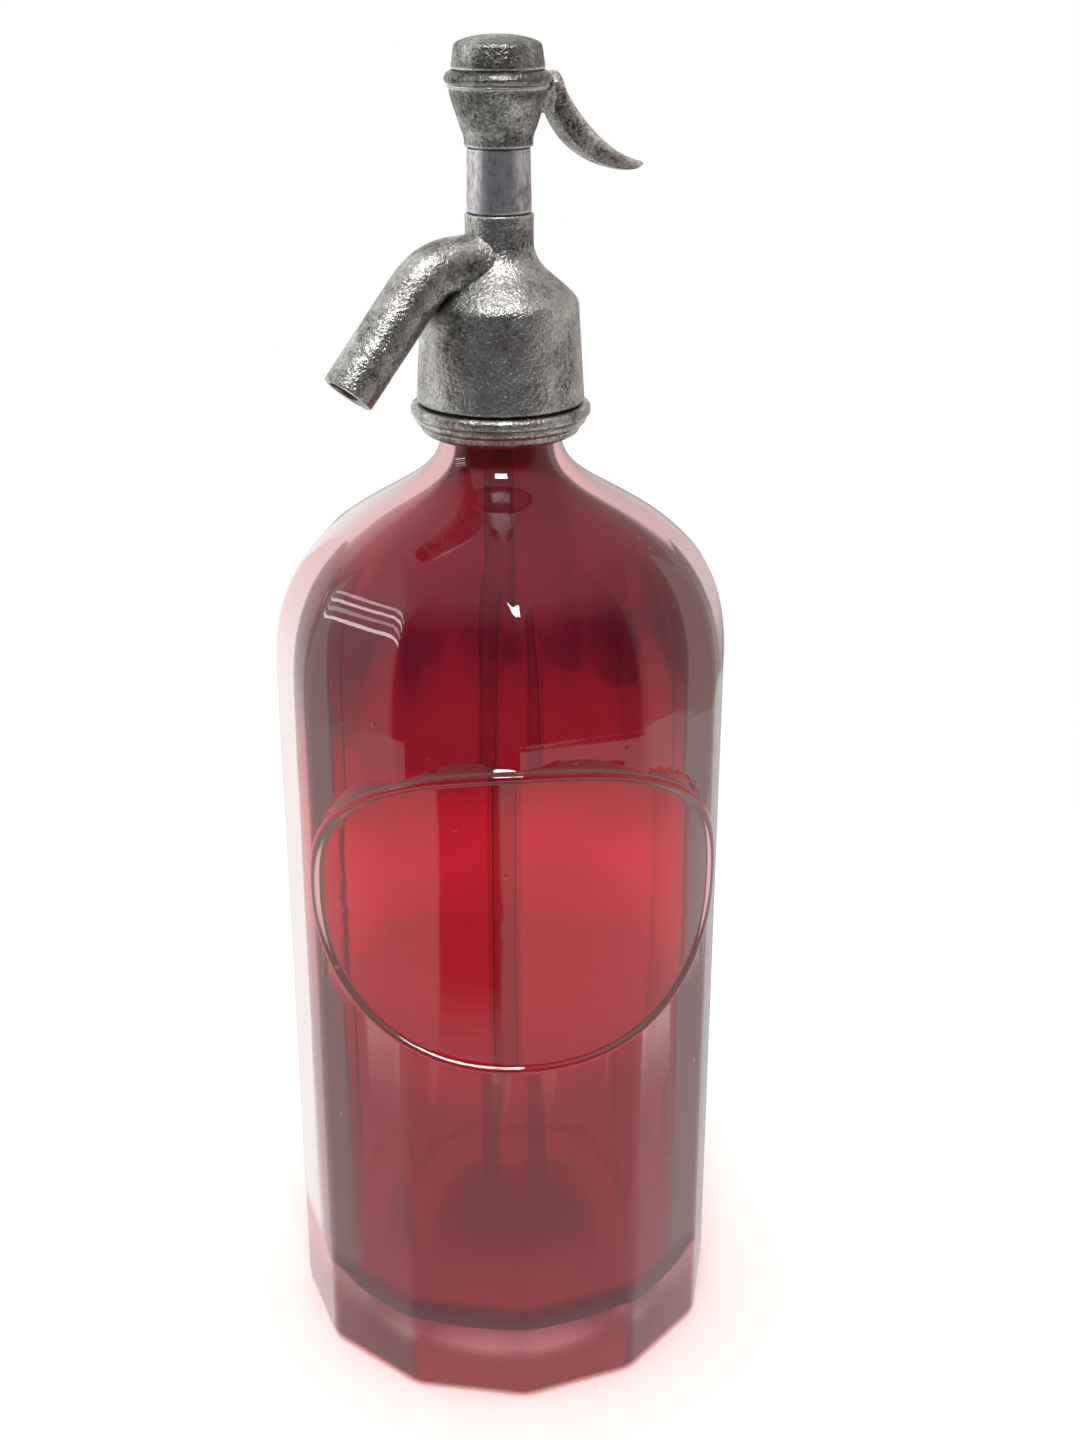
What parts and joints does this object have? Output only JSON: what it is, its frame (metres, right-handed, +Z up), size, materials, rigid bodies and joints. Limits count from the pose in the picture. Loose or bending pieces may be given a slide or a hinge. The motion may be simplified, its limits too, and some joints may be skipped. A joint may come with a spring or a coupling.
{
  "type": "soda siphon",
  "caption": "Free-standing soda siphon: faceted glass bottle with a raised oval pad, cast metal head, thumb lever, sprung valve piston, bent spout and dip tube.",
  "frame": {"origin": "centre of the bottle's foot, on the table", "axes": "+Z up the siphon's axis, +X towards the lever, -X towards the spout, Y along the lever pin"},
  "size_m": [0.1061, 0.1062, 0.31],
  "materials": {
    "ruby_glass": "pressed ruby glass, polished facets",
    "tube_glass": "drawn clear glass",
    "cast_metal": "worn cast tin alloy, mottled grey",
    "barrel_metal": "dark tarnished tube",
    "brass": "turned brass",
    "spring_steel": "drawn steel wire",
    "rubber": "moulded rubber",
    "leather": "greased leather"
  },
  "bodies": {
    "root": {"bottle": "ruby_glass", "neck_ring_front": "cast_metal", "neck_ring_back": "cast_metal", "head_gasket": "rubber", "dip_tube": "tube_glass", "tube_sleeve": "rubber", "tube_holder": "cast_metal", "head_bell": "cast_metal", "spout": "cast_metal", "valve_seat": "brass", "barrel": "barrel_metal", "lever_housing": "cast_metal", "cap": "cast_metal", "lever_pin": "spring_steel", "valve_spring": "spring_steel"},
    "lever": {"lever": "cast_metal"},
    "piston": {"piston_rod": "brass", "valve_holder": "brass", "valve_rubber": "rubber", "cup_leather": "leather", "cup_washer": "brass", "cup_nut": "brass", "spring_seat": "brass", "rod_nut": "brass"}
  },
  "joints": [
    {"name": "lever_press", "type": "hinge", "parent": "root", "child": "lever", "pos_m": [0.0075, 0, 0.296], "axis": [0, 1, 0], "range_deg": [0, 16], "stiffness_Nm_per_rad": 0.2, "springref_deg": -8.59},
    {"name": "piston_lift", "type": "slide", "parent": "root", "child": "piston", "axis": [0, 0, 1], "range_m": [0, 0.0026], "deforming": ["valve_spring"]}
  ],
  "couplings": [
    {"joint": "piston_lift", "follows": "lever_press", "m_per_rad": 0.009}
  ]
}
